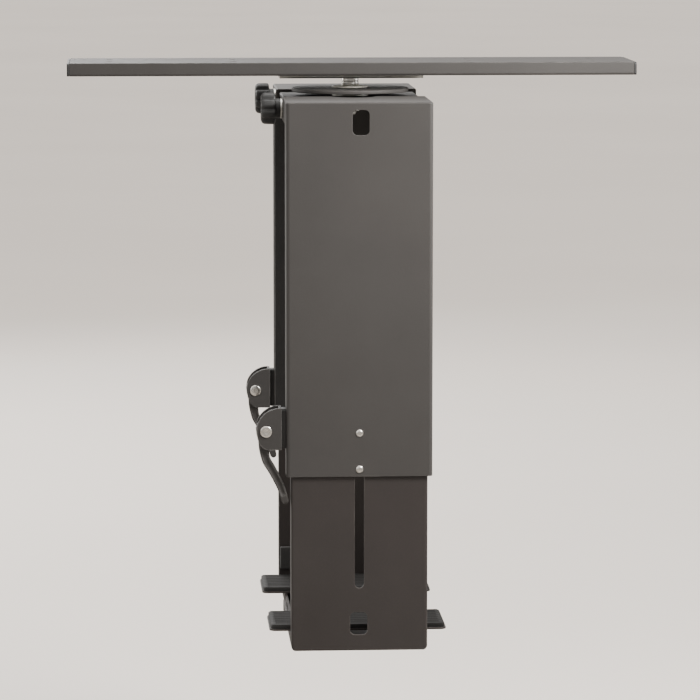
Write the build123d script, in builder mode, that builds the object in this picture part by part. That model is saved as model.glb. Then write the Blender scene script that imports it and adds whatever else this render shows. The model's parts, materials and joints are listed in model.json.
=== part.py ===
from build123d import *
import math
import os

# CPU holder: a slotted side-plate cage that hangs under a desktop on a swivel and a sliding
# carriage. Frame, in mm: the origin is the middle of the track's top face on the swivel axis,
# -X is the front (the user's side), -Y is the near side, Z is up.
# Names ending in _x, _y or _z that hold a pair are the two limits of a feature on that axis.

os.makedirs("parts", exist_ok=True)

CUT = Mode.SUBTRACT
SIDES = (("near", -1), ("far", 1))
ENDS = (("front", -1), ("rear", 1))

# Dimensions shared between sections
sheet = 2.0         # thickness of all the bent sheet metal
nest_gap = 0.3      # play between sheets that slide in one another


# ================================================================ helpers
def past(limits, extra=1.0):
    """Limits widened at both ends, so that a cutter passes right through."""
    return min(limits) - extra, max(limits) + extra


def slab(x, y, z, mode=Mode.ADD):
    """A block between three pairs of limits."""
    x, y, z = sorted(x), sorted(y), sorted(z)
    with Locations(((x[0] + x[1]) / 2, (y[0] + y[1]) / 2, (z[0] + z[1]) / 2)):
        Box(x[1] - x[0], y[1] - y[0], z[1] - z[0], mode=mode)


def rod_z(radius, at, z, mode=Mode.ADD):
    """A cylinder along Z, with its axis at (x, y)."""
    with Locations((at[0], at[1], (z[0] + z[1]) / 2)):
        Cylinder(radius, abs(z[1] - z[0]), mode=mode)


def rod_x(radius, at, x, mode=Mode.ADD):
    """A cylinder along X, with its axis at (y, z)."""
    with Locations(((x[0] + x[1]) / 2, at[0], at[1])):
        Cylinder(radius, abs(x[1] - x[0]), rotation=(0, 90, 0), mode=mode)


def rod_y(radius, at, y, mode=Mode.ADD):
    """A cylinder along Y, with its axis at (x, z)."""
    with Locations((at[0], (y[0] + y[1]) / 2, at[1])):
        Cylinder(radius, abs(y[1] - y[0]), rotation=(90, 0, 0), mode=mode)


def side_plane(y):
    """The XZ plane moved to the given Y."""
    return Plane.XZ.offset(-y)


def edges_at(edges, **distances):
    """Edges whose centres lie at the given distances (X=, Y=, Z=) from the origin, either way."""
    return edges.filter_by(lambda edge: all(
        abs(abs(getattr(edge.center(), axis)) - distance) < 0.01
        for axis, distance in distances.items()))


def circles(builder):
    return builder.edges().filter_by(GeomType.CIRCLE)


def save(builder, label):
    builder.part.label = label
    export_step(builder.part, "parts/" + label + ".step")


# ================================================================ track
track_len, track_w, track_h = 430.0, 78.0, 10.0
track_web = 2.5         # thickness of the top
track_wall = 2.0
track_lip = 2.0
track_open = 48.0       # gap between the lips
track_screw_r = 2.75
track_screw_x = (185.0, 90.0)
track_screw_y = 14.0
cap_depth = 12.0        # how far an end cap plugs into the track
cap_plate = 2.0
cap_gap_y, cap_gap_z = 0.2, 0.1
cap_top = -0.2

with BuildPart() as track:
    with BuildSketch(Plane.YZ.offset(-track_len / 2)):
        with Locations((0, -track_h / 2)):
            Rectangle(track_w, track_h)
        with Locations((0, -(track_web + track_h - track_lip) / 2)):
            Rectangle(track_w - 2 * track_wall, track_h - track_web - track_lip, mode=CUT)
        with Locations((0, -track_h + track_lip / 2)):
            Rectangle(track_open, track_lip, mode=CUT)
    extrude(amount=track_len)
    fillet(edges_at(track.edges().filter_by(Axis.X), Y=track_w / 2, Z=track_h), 2.0)
    for screw_x in track_screw_x:
        for x in (-screw_x, screw_x):
            for y in (-track_screw_y, track_screw_y):
                rod_z(track_screw_r, (x, y), past((-track_web, 0)), CUT)
save(track, "track")

for end, sign in ENDS:
    track_end = sign * track_len / 2
    plug_x = (track_end - sign * cap_depth, track_end)
    plug_y = track_w / 2 - track_wall - cap_gap_y
    neck_y = track_open / 2 - cap_gap_y
    lip_top = -track_h + track_lip + cap_gap_z
    with BuildPart() as end_cap:
        slab(plug_x, (-plug_y, plug_y), (lip_top, -track_web - cap_gap_z))
        slab(plug_x, (-neck_y, neck_y), (-track_h + cap_gap_z, lip_top))
        slab((track_end, track_end + sign * cap_plate), (-track_w / 2, track_w / 2),
             (-track_h, cap_top))
        fillet(edges_at(end_cap.edges().filter_by(Axis.X), Y=track_w / 2), 1.8)
    save(end_cap, "track_end_cap_" + end)

# ================================================================ carriage and pivot
carriage_x = (-55.0, 55.0)
flange_y = 35.0         # outer edge of the carriage's flanges
hat_y = 21.5            # outside of its hat section
flange_z = (-6.25, -4.25)
hat_bottom = -13.0
hat_floor = hat_bottom + sheet
glide_x, glide_y, glide_z = (28, 50), (25.0, 36.8), (-7.8, -2.7)

bolt_r, bore_r = 5.0, 5.1
bolt_end = -41.5
bolt_head_r, bolt_head_h = 10.0, 4.2
collar_r = 6.6
collar_z = (-19.6, hat_bottom)
thrust_z = (-20.8, collar_z[0])
nut_flats = 17.0
nut_z = (-39.0, -31.0)
washer_z = (nut_z[1], -29.5)

disc_r = 45.0
disc_z = (-24.0, -21.0)
hub_r = 14.0
bushing_r = 7.0
bridge_x, bridge_y = 52.5, 75.0
bridge_z = (-29.3, -27.3)       # bottom and top of the bridge's web
bridge_flange_z = -41.5

with BuildPart() as carriage:
    for sign in (-1, 1):
        slab(carriage_x, (sign * (hat_y - sheet), sign * flange_y), flange_z)
        slab(carriage_x, (sign * (hat_y - sheet), sign * hat_y), (hat_bottom, flange_z[1]))
    slab(carriage_x, (-hat_y, hat_y), (hat_bottom, hat_floor))
    rod_z(bore_r, (0, 0), past((hat_bottom, hat_floor)), CUT)
    fillet(edges_at(carriage.edges().filter_by(Axis.X), Y=hat_y, Z=-hat_bottom), 2.0)
    fillet(edges_at(carriage.edges().filter_by(Axis.Z), Y=flange_y), 4.0)
save(carriage, "carriage")

# Glides grip the flange edges in a groove
for end, sign_x in ENDS:
    for side, sign_y in SIDES:
        with BuildPart() as glide:
            block_x = [sign_x * x for x in glide_x]
            slab(block_x, [sign_y * y for y in glide_y], glide_z)
            slab(past(block_x), (sign_y * (glide_y[0] - 1), sign_y * flange_y), flange_z, CUT)
        save(glide, "glide_" + end + "_" + side)

with BuildPart() as pivot_bolt:
    rod_z(bolt_head_r, (0, 0), (hat_floor, hat_floor + bolt_head_h))
    fillet(circles(pivot_bolt).sort_by(Axis.Z)[-1], 1.8)
    rod_z(bolt_r, (0, 0), (bolt_end, hat_floor))
    chamfer(circles(pivot_bolt).sort_by(Axis.Z)[0], 0.8)
save(pivot_bolt, "pivot_bolt")

with BuildPart() as pivot_collar:
    rod_z(collar_r, (0, 0), collar_z)
    chamfer(circles(pivot_collar), 0.4)
    rod_z(bore_r, (0, 0), past(collar_z), CUT)
save(pivot_collar, "pivot_collar")

with BuildPart() as pivot_nut:
    with BuildSketch(Plane.XY.offset(nut_z[0])):
        RegularPolygon(nut_flats / 2 / math.cos(math.pi / 6), 6)
    extrude(amount=nut_z[1] - nut_z[0])
    rod_z(bolt_r + 0.05, (0, 0), past(nut_z), CUT)
save(pivot_nut, "pivot_nut")

with BuildPart() as swivel_disc:
    rod_z(disc_r, (0, 0), disc_z)
    chamfer(circles(swivel_disc), 0.5)
    rod_z(bushing_r, (0, 0), past(disc_z), CUT)
save(swivel_disc, "swivel_disc")

# Plain rings on the pivot: name, outer radius, bore radius, limits in Z
for label, outer_r, inner_r, ring_z in (
    ("thrust_washer", 14.0, bore_r, thrust_z),
    ("lower_washer", 13.0, bore_r, washer_z),
    ("swivel_hub", hub_r, bushing_r, (bridge_z[1], disc_z[0])),
    ("pivot_bushing", bushing_r - 0.02, bore_r, (bridge_z[0], disc_z[1])),
):
    with BuildPart() as ring:
        rod_z(outer_r, (0, 0), ring_z)
        rod_z(inner_r, (0, 0), past(ring_z), CUT)
    save(ring, label)

# ================================================================ bridge channel
stud_y, stud_z = 62.0, -33.0
stud_r = 2.5
width_slot_r = stud_r + 0.25
width_slot_y = (16.75, 67.25)   # centres of the slot's round ends

with BuildPart() as bridge:
    slab((-bridge_x, bridge_x), (-bridge_y, bridge_y), (bridge_flange_z, bridge_z[1]))
    slab((-bridge_x + sheet, bridge_x - sheet), past((-bridge_y, bridge_y)),
         (bridge_flange_z - 1, bridge_z[0]), CUT)
    rod_z(bushing_r, (0, 0), past(bridge_z), CUT)
    fillet(edges_at(bridge.edges().filter_by(Axis.Y), X=bridge_x, Z=-bridge_z[1]), 1.2)
    # slots in the front flange for the width studs
    front_wall = past((-bridge_x, -bridge_x + sheet))
    for sign in (-1, 1):
        slot_ends = [sign * y for y in width_slot_y]
        slab(front_wall, slot_ends, (stud_z - width_slot_r, stud_z + width_slot_r), CUT)
        for y in slot_ends:
            rod_x(width_slot_r, (y, stud_z), front_wall, CUT)
save(bridge, "bridge_channel")

# ================================================================ side dimensions
# upper brackets
upper_x = bridge_x + sheet + 0.25
upper_out, upper_in = 123.0, 103.0
upper_top, upper_bottom = -25.0, -305.0
upper_lip_w = 12.0
top_leg_in = 48.0
top_leg_bottom = -42.0
notch_r = 16.0
window_r = 3.5
upper_window_at, upper_window_size = (1.0, -40.0), (12.5, 18.5)
rivet_z = (-272.0, -299.3)
rivet_r = 2.4
pad_t = 3.0

# lower brackets
lower_x = 51.3
lower_out = upper_out - sheet - nest_gap
lower_in = upper_in + sheet + nest_gap
lower_top, lower_bottom = -145.0, -438.0
lower_lip_w = 10.0
lower_bend_r = 2.0
guide_slot_w = 7.0
guide_slot_z = (-390.0, -158.0)
lower_window_at, lower_window_size = (-0.5, -417.0), (13.0, 17.0)
far_leg_x = 48.9
far_leg_bottom = lower_bottom + sheet + nest_gap
leg_reach = 27.0        # how far a bottom leg runs past the middle
leg_flange_top = -426.5
foot_slot_r = 3.5
foot_slot_y = (-9.5, 89.5)
shelf_x = 67.0
shelf_y = (47.0, 104.5)
shelf_z = (-425.5, -424.0)
shelf_pad_z = (shelf_z[1], -420.7)
clamp_r = 3.0

# cam levers
cam_x, cam_y, cam_z = -69.9, 113.0, -270.5
cam_r = 8.4
cam_throw = 1.0
pin_r = 4.0
pin_head_r = pin_r + 0.4
pin_head_from, pin_head_to = 9.05, 10.3     # distances from cam_y
shoe_r = 3.9
shoe_hole_r = shoe_r + 0.1
ear_base_x = (-60.2, -58.2)
ear_z = (-284.5, -253.2)
ear_half_w = 9.0
ear_t = 2.0
ear_screw_z = (-257.0, -281.2)
ear_screw_r, ear_hole_r = 1.6, 1.65
screw_sink, screw_head_h = 0.1, 1.3
spacer_half_w, spacer_inset = 6.0, 0.6
lever_w = 13.4

# curved edge of an ear's cheek, from its top rear corner down: x, z
ear_outline = [
    (ear_base_x[1], ear_z[1]), (-65.0, -253.9), (-71.6, -257.8), (-75.8, -263.8),
    (-76.8, -271.0), (-75.4, -278.4), (-71.8, -283.2), (-67.0, ear_z[0]),
]
# centre line of the lever, from the cam down: x, z, half width
lever_line = [
    (-71.0, -277.5, 4.8), (-71.2, -284.0, 3.7), (-69.6, -292.7, 3.2), (-65.6, -299.8, 3.0),
    (-61.8, -306.9, 2.9), (-57.9, -315.5, 2.7), (-55.7, -323.5, 2.4),
]

# width knobs
width_nut_x = (-50.3, -46.3)
stud_x = (-66.0, -44.0)
knob_washer_x = (-56.4, -54.9)
knob_grip_x = (-71.0, -60.0)
knob_neck_x = (knob_grip_x[1], knob_washer_x[0])
knob_r, knob_neck_r = 12.2, 7.5
flute_ring_r = 13.2     # radius on which the grip flutes of every knob are centred


# ================================================================ upper side parts
# In all the side functions sign is -1 for the near side and 1 for the far side.
def upper_bracket(side, sign):
    """Lipped vertical channel with a top leg that rides over the bridge."""
    inner_x = (-upper_x + sheet, upper_x - sheet)
    under_top = upper_top - sheet
    front_wall = past((-upper_x, -upper_x + sheet), 2)
    with BuildPart() as upper:
        slab((-upper_x, upper_x), (sign * upper_in, sign * upper_out), (upper_bottom, upper_top))
        fillet(edges_at(upper.edges().filter_by(Axis.Z), Y=upper_out), 3.0)
        slab((-upper_x, upper_x), (sign * top_leg_in, sign * (upper_in + 1)),
             (top_leg_bottom, upper_top))
        fillet(edges_at(upper.edges(), Y=upper_out, Z=-upper_top), 1.2)
        # hollow the channel, then the leg, then open the channel between its lips
        slab(inner_x, (sign * (upper_in + sheet), sign * (upper_out - sheet)),
             (upper_bottom - 1, under_top), CUT)
        slab(inner_x, (sign * (top_leg_in - 1), sign * (upper_in + sheet + 1)),
             (top_leg_bottom - 3, under_top), CUT)
        slab((-upper_x + upper_lip_w, upper_x - upper_lip_w),
             past((sign * upper_in, sign * (upper_in + sheet))),
             (upper_bottom - 1, top_leg_bottom), CUT)
        # clearance notch for the swivel hub
        notch_z = past((under_top, upper_top))
        slab((-notch_r, notch_r), (sign * (top_leg_in - 1), sign * (top_leg_in + 1)),
             notch_z, CUT)
        rod_z(notch_r, (0, sign * top_leg_in), notch_z, CUT)
        with BuildSketch(side_plane(sign * upper_out)):
            with Locations(upper_window_at):
                RectangleRounded(*upper_window_size, window_r)
        extrude(amount=3 * sheet, both=True, mode=CUT)
        for z in rivet_z:
            rod_y(rivet_r + 0.05, (0, z),
                  past((sign * (upper_out - sheet), sign * upper_out), 2), CUT)
        rod_x(shoe_hole_r, (sign * cam_y, cam_z), front_wall, CUT)
        for z in ear_screw_z:
            rod_x(ear_hole_r, (sign * cam_y, z), front_wall, CUT)
        rod_x(width_slot_r, (sign * stud_y, stud_z), front_wall, CUT)
    save(upper, side + "_upper_bracket")


def guide_rivets(side, sign):
    """Two shouldered rivets that run in the lower bracket's slot."""
    inner_end = 116.4
    dome_top = upper_out + 1.2
    with BuildPart() as rivets:
        for z in rivet_z:
            rod_y(rivet_r, (0, z), (sign * inner_end, sign * (upper_out + 0.1)))
            rod_y(5.4, (0, z), (sign * inner_end, sign * (inner_end + 2)))
            rod_y(2.9, (0, z), (sign * upper_out, sign * dome_top))
        fillet(edges_at(circles(rivets), Y=dome_top), 0.9)
    save(rivets, side + "_guide_rivets")


def lip_pads(side, sign):
    """Foam strips on the inner faces of the upper bracket's lips."""
    for end, sign_x in ENDS:
        with BuildPart() as strip:
            slab((sign_x * 43.25, sign_x * 54.25),
                 (sign * (upper_in - pad_t), sign * upper_in), (-300.0, -50.0))
        save(strip, side + "_pad_" + end)


# ================================================================ cam lever set
def through_ear(sign):
    """Limits in Y that clear both cheeks of the ear bracket."""
    return sign * (cam_y - ear_half_w - 4), sign * (cam_y + ear_half_w + 4)


def lever_ear(side, sign):
    """Base plate with two cheeks that carry the lever's cross pin."""
    base_rear = ear_base_x[1]
    with BuildPart() as ear:
        slab(ear_base_x, (sign * (cam_y - ear_half_w), sign * (cam_y + ear_half_w)), ear_z)
        for cheek in (-1, 1):
            with BuildSketch(side_plane(sign * cam_y + cheek * (ear_half_w - ear_t / 2))):
                with BuildLine():
                    Spline(*ear_outline)
                    Line(ear_outline[-1], (base_rear, ear_z[0]))
                    Line((base_rear, ear_z[0]), (base_rear, ear_z[1]))
                make_face()
            extrude(amount=ear_t / 2, both=True)
        rod_y(pin_r + 0.05, (cam_x, cam_z), through_ear(sign), CUT)
        rod_x(shoe_hole_r, (sign * cam_y, cam_z), past(ear_base_x), CUT)
        for z in ear_screw_z:
            with Locations(Location((ear_base_x[0], sign * cam_y, z), (0, -90, 0))):
                CounterSinkHole(ear_hole_r, 3.1, depth=4)
    save(ear, side + "_lever_ear")


def ear_spacer(side, sign):
    """Block between the ear's base and the upper bracket."""
    spacer_x = (ear_base_x[1], -upper_x)
    with BuildPart() as spacer:
        slab(spacer_x, (sign * (cam_y - spacer_half_w), sign * (cam_y + spacer_half_w)),
             (ear_z[0] + spacer_inset, ear_z[1] - spacer_inset))
        fillet(spacer.edges().filter_by(Axis.X), 2.0)
        rod_x(shoe_hole_r, (sign * cam_y, cam_z), past(spacer_x), CUT)
        for z in ear_screw_z:
            rod_x(ear_hole_r, (sign * cam_y, z), past(spacer_x), CUT)
    save(spacer, side + "_ear_spacer")


def ear_screws(side, sign):
    """Two countersunk screws through ear, spacer and bracket."""
    head_x = ear_base_x[0] + screw_sink
    with BuildPart() as screws:
        for z in ear_screw_z:
            rod_x(ear_screw_r, (sign * cam_y, z), (head_x, -upper_x + sheet - 0.2))
            with Locations(Location((head_x + screw_head_h / 2, sign * cam_y, z), (0, 90, 0))):
                Cone(2.95, ear_screw_r, screw_head_h)
    save(screws, side + "_ear_screws")


def clamp_shoe(side, sign):
    """Plug that the cam presses on the lower bracket."""
    with BuildPart() as shoe:
        rod_x(shoe_r, (sign * cam_y, cam_z), (ear_base_x[0], -lower_x - 0.2))
        chamfer(circles(shoe), 0.5)
    save(shoe, side + "_clamp_shoe")


def lever_pin(side, sign):
    """Cross pin with a rounded head at each end."""
    with BuildPart() as pin:
        rod_y(pin_r, (cam_x, cam_z), (sign * (cam_y - 10.0), sign * (cam_y + 9.2)))
        for way in (1, -1):
            rod_y(pin_head_r, (cam_x, cam_z), (sign * (cam_y + way * pin_head_from),
                                               sign * (cam_y + way * pin_head_to)))
        rims = circles(pin)
        fillet(edges_at(rims, Y=cam_y + pin_head_to) + edges_at(rims, Y=cam_y - pin_head_to), 0.8)
    save(pin, side + "_lever_pin")


def lever_edges():
    """Front and rear edges of the lever, offset square to its centre line."""
    front, rear = [], []
    for k, (x, z, half_w) in enumerate(lever_line):
        before = lever_line[max(k - 1, 0)]
        after = lever_line[min(k + 1, len(lever_line) - 1)]
        step_x, step_z = after[0] - before[0], after[1] - before[1]
        run = math.hypot(step_x, step_z)
        normal_x, normal_z = -step_z / run, step_x / run
        rear.append((x + normal_x * half_w, z + normal_z * half_w))
        front.append((x - normal_x * half_w, z - normal_z * half_w))
    return front, rear


def cam_lever(side, sign):
    """Eccentric cam with a curved lever hanging from it."""
    front, rear = lever_edges()
    cam_centre = (cam_x + cam_throw, cam_z)
    tip_x, tip_z, tip_r = lever_line[-1]
    with BuildPart() as lever:
        with BuildSketch(side_plane(sign * cam_y)):
            with Locations(cam_centre):
                Circle(cam_r)
            with Locations((tip_x, tip_z)):
                Circle(tip_r)
            with BuildLine():
                Spline(*front)
                Line(front[-1], rear[-1])
                Spline(*reversed(rear))
                Line(rear[0], cam_centre)
                Line(cam_centre, front[0])
            make_face()
        extrude(amount=lever_w / 2, both=True)
        rod_y(pin_r + 0.1, (cam_x, cam_z), through_ear(sign), CUT)
    save(lever, side + "_cam_lever")


# ================================================================ width lock
def width_lock(side, sign):
    """Sliding nut in the bridge, stud, and the washer and knob outside."""
    axis = (sign * stud_y, stud_z)
    with BuildPart() as width_nut:
        slab(width_nut_x, (sign * (stud_y - 8), sign * (stud_y + 8)),
             (stud_z - 3.5, stud_z + 3.5))
        rod_x(stud_r + 0.1, axis, past(width_nut_x), CUT)
    save(width_nut, side + "_width_nut")

    with BuildPart() as stud:
        rod_x(stud_r, axis, stud_x)
        chamfer(circles(stud).sort_by(Axis.X)[-1], 0.5)
    save(stud, side + "_knob_stud")

    with BuildPart() as knob_washer:
        rod_x(7.5, axis, knob_washer_x)
        rod_x(stud_r + 0.05, axis, past(knob_washer_x), CUT)
    save(knob_washer, side + "_knob_washer")

    with BuildPart() as knob:
        rod_x(knob_r, axis, knob_grip_x)
        fillet(circles(knob).sort_by(Axis.X)[0], 2.5)
        rod_x(knob_neck_r, axis, knob_neck_x)
        for k in range(8):
            angle = math.radians(22.5 + 45 * k)
            flute_at = (axis[0] + flute_ring_r * math.cos(angle),
                        axis[1] + flute_ring_r * math.sin(angle))
            rod_x(2.2, flute_at, past(knob_grip_x), CUT)
        rod_x(stud_r + 0.05, axis, (stud_x[0] - 0.1, knob_neck_x[1] + 1), CUT)
    save(knob, side + "_knob")


# ================================================================ lower side parts
def lower_bracket(side, sign):
    """Nested slotted channel with a bottom leg; the far leg nests in the near one."""
    foot = lower_bottom if sign < 0 else far_leg_bottom
    inner_x = (-lower_x + sheet, lower_x - sheet)
    lip_y = past((sign * lower_in, sign * (lower_in + sheet)))
    with BuildPart() as lower:
        slab((-lower_x, lower_x), (sign * lower_in, sign * lower_out), (foot, lower_top))
        fillet(edges_at(lower.edges().filter_by(Axis.Z), Y=lower_out), lower_bend_r)
        channel_z = past((lower_bottom, lower_top))
        slab(inner_x, (sign * (lower_in + sheet), sign * (lower_out - sheet)), channel_z, CUT)
        slab((-lower_x + lower_lip_w, lower_x - lower_lip_w), lip_y, channel_z, CUT)
        if sign < 0:
            # outer leg, the full width of the plate
            slab(inner_x, lip_y, (lower_bottom, -422.0), CUT)
            slab((-lower_x, lower_x), (-lower_out, leg_reach), (lower_bottom, leg_flange_top))
            slab((-lower_x, lower_x), (-lower_out, -shelf_y[0]),
                 (leg_flange_top - 0.5, shelf_z[0]))
            slab(inner_x, (-lower_out + sheet, leg_reach + 1),
                 (lower_bottom + sheet, shelf_z[0] + 1), CUT)
            rod_z(clamp_r + 0.1, (0, 0), past((lower_bottom, lower_bottom + sheet)), CUT)
            fillet(edges_at(lower.edges().filter_by(Axis.Y), X=lower_x, Z=-lower_bottom), 4.0)
            # the side bends carry on down round the foot of the plate
            with BuildSketch(Plane.XY.offset(lower_bottom - 1)):
                for sign_x in (-1, 1):
                    with Locations((sign_x * lower_x, -lower_out)):
                        Rectangle(2 * lower_bend_r, 2 * lower_bend_r)
                    with Locations((sign_x * (lower_x - lower_bend_r),
                                    -lower_out + lower_bend_r)):
                        Circle(lower_bend_r, mode=CUT)
            extrude(amount=shelf_z[0] - lower_bottom + 1, mode=CUT)
        else:
            # inner leg, narrower, with a slot for the clamp bolt
            slab(past((-lower_x, lower_x)), (lower_in - 1, lower_out - sheet),
                 (lower_bottom - 1, shelf_z[1]), CUT)
            slab((-far_leg_x, far_leg_x), (-leg_reach, lower_out),
                 (far_leg_bottom, leg_flange_top))
            slab((-far_leg_x, far_leg_x), (shelf_y[0], lower_out),
                 (leg_flange_top - 0.5, shelf_z[0]))
            slab((-far_leg_x + sheet, far_leg_x - sheet), (-leg_reach - 1, lower_out - sheet),
                 (far_leg_bottom + sheet, shelf_z[0] + 1), CUT)
            leg_floor = past((far_leg_bottom, far_leg_bottom + sheet))
            slab((-foot_slot_r, foot_slot_r), foot_slot_y, leg_floor, CUT)
            for y in foot_slot_y:
                rod_z(foot_slot_r, (0, y), leg_floor, CUT)
        # bend from the plate into the bottom leg
        with BuildSketch(Plane.YZ.offset(-lower_x - 1)):
            with Locations((sign * lower_out, foot)):
                Rectangle(2 * lower_bend_r, 2 * lower_bend_r)
            with Locations((sign * (lower_out - lower_bend_r), foot + lower_bend_r)):
                Circle(lower_bend_r, mode=CUT)
        extrude(amount=2 * lower_x + 2, mode=CUT)
        # long guide slot for the rivets, and the window
        with BuildSketch(side_plane(sign * lower_out)):
            with Locations((0, sum(guide_slot_z) / 2)):
                SlotOverall(guide_slot_z[1] - guide_slot_z[0], guide_slot_w, rotation=90)
            with Locations(lower_window_at):
                RectangleRounded(*lower_window_size, window_r)
        extrude(amount=3 * sheet, both=True, mode=CUT)
    save(lower, side + "_lower_bracket")


def shelf_set(side, sign):
    """Shelf on the bottom leg, its pad, and the two pads at the foot of the plate."""
    with BuildPart() as shelf:
        slab((-shelf_x, shelf_x), (sign * shelf_y[0], sign * shelf_y[1]), shelf_z)
        fillet(shelf.edges().filter_by(Axis.Z), 5.0)
    save(shelf, side + "_shelf")

    with BuildPart() as shelf_pad:
        slab((-shelf_x + 1, shelf_x - 1),
             (sign * (shelf_y[0] + 1), sign * (shelf_y[1] - 1)), shelf_pad_z)
        fillet(shelf_pad.edges().filter_by(Axis.Z), 4.0)
    save(shelf_pad, side + "_shelf_pad")

    with BuildPart() as toe_pads:
        for sign_x in (-1, 1):
            slab((sign_x * 42.0, sign_x * 50.5),
                 (sign * (upper_in - pad_t), sign * lower_in), (-416.0, -398.0))
    save(toe_pads, side + "_toe_pads")


for side, sign in SIDES:
    for build in (upper_bracket, guide_rivets, lip_pads, lever_ear, ear_spacer, ear_screws,
                  clamp_shoe, lever_pin, cam_lever, width_lock, lower_bracket, shelf_set):
        build(side, sign)

# ================================================================ bottom clamp
clamp_head_z = (-433.5, -430.3)
clamp_bolt_end = -450.0
clamp_grip_z = (-449.0, -441.0)
clamp_knob_top = lower_bottom - 0.2

with BuildPart() as clamp_bolt:
    rod_z(7.0, (0, 0), clamp_head_z)
    fillet(circles(clamp_bolt).sort_by(Axis.Z)[-1], 1.4)
    rod_z(clamp_r, (0, 0), (clamp_bolt_end, clamp_head_z[0]))
save(clamp_bolt, "bottom_clamp_bolt")

with BuildPart() as clamp_knob:
    rod_z(12.0, (0, 0), clamp_grip_z)
    fillet(circles(clamp_knob).sort_by(Axis.Z)[0], 1.5)
    rod_z(7.0, (0, 0), (clamp_grip_z[1], clamp_knob_top))
    for k in range(6):
        angle = math.radians(60 * k)
        rod_z(2.4, (flute_ring_r * math.cos(angle), flute_ring_r * math.sin(angle)),
              past(clamp_grip_z), CUT)
    rod_z(clamp_r + 0.1, (0, 0), past((clamp_grip_z[0], clamp_knob_top)), CUT)
save(clamp_knob, "bottom_clamp_knob")
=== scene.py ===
"""A holder with two clamping sides, hung from a track by a trolley and a swivel.

The pivot is the Z axis and everything hangs below it. X runs from the front (-) to the rear (+).
The near side lies at -Y, towards the camera, and the far side at +Y.
Pieces are measured in mm and built in metres; the floor, lights and camera are in metres.
"""
import json
import math
import bmesh
import bpy
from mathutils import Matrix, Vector, noise

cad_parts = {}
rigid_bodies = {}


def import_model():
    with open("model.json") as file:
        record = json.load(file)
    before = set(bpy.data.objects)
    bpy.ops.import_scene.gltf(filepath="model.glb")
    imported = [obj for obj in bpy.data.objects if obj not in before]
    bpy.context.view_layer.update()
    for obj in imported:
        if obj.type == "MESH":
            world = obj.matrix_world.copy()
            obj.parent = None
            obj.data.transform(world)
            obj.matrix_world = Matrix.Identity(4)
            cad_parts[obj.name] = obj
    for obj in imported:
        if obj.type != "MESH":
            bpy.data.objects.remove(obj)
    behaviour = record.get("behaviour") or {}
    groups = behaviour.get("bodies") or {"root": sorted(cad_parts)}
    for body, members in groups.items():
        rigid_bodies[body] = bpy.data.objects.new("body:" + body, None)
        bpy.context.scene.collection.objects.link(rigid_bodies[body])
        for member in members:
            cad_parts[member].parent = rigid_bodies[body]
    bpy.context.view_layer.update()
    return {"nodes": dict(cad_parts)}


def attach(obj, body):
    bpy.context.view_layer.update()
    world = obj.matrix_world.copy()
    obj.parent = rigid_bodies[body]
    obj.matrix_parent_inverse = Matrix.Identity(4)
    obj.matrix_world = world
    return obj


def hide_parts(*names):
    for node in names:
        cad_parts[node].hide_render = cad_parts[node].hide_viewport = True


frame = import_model()
nodes = frame["nodes"]

MM = 0.001
SIDES = (("near", -1), ("far", 1))   # name, sign of Y
ENDS = (("front", -1), ("rear", 1))  # name, sign of X

# Places shared by several pieces, mm
PLATE_Y = 100.0                      # inner face of each side's plate foam
LEVER_Y = 113.0                      # middle plane of the lever, shoe and ear screws
LEVER_PIN_X, LEVER_PIN_Z = -69.9, -270.5
KNOB_Y, KNOB_Z = 62.0, -33.0         # axis of the width knob and its stud


# ---------------------------------------------------------------- shader nodes
def add_node(tree, kind, inputs, **settings):
    """Add a shader node with its settings and inputs."""
    node = tree.nodes.new(kind)
    for key, value in settings.items():
        setattr(node, key, value)
    feed(tree, node, inputs)
    return node


def feed(tree, node, inputs):
    """Give each input a link from another socket, or a value."""
    for key, value in inputs.items():
        socket = node.inputs[key]
        if isinstance(value, bpy.types.NodeSocket):
            tree.links.new(value, socket)
        else:
            socket.default_value = (*value, 1.0) if socket.type == "RGBA" else value


def map_range(value, span, to):
    """Inputs of a Map Range node that takes `span` to `to`."""
    return {"Value": value, "From Min": span[0], "From Max": span[1],
            "To Min": to[0], "To Max": to[1]}


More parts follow.
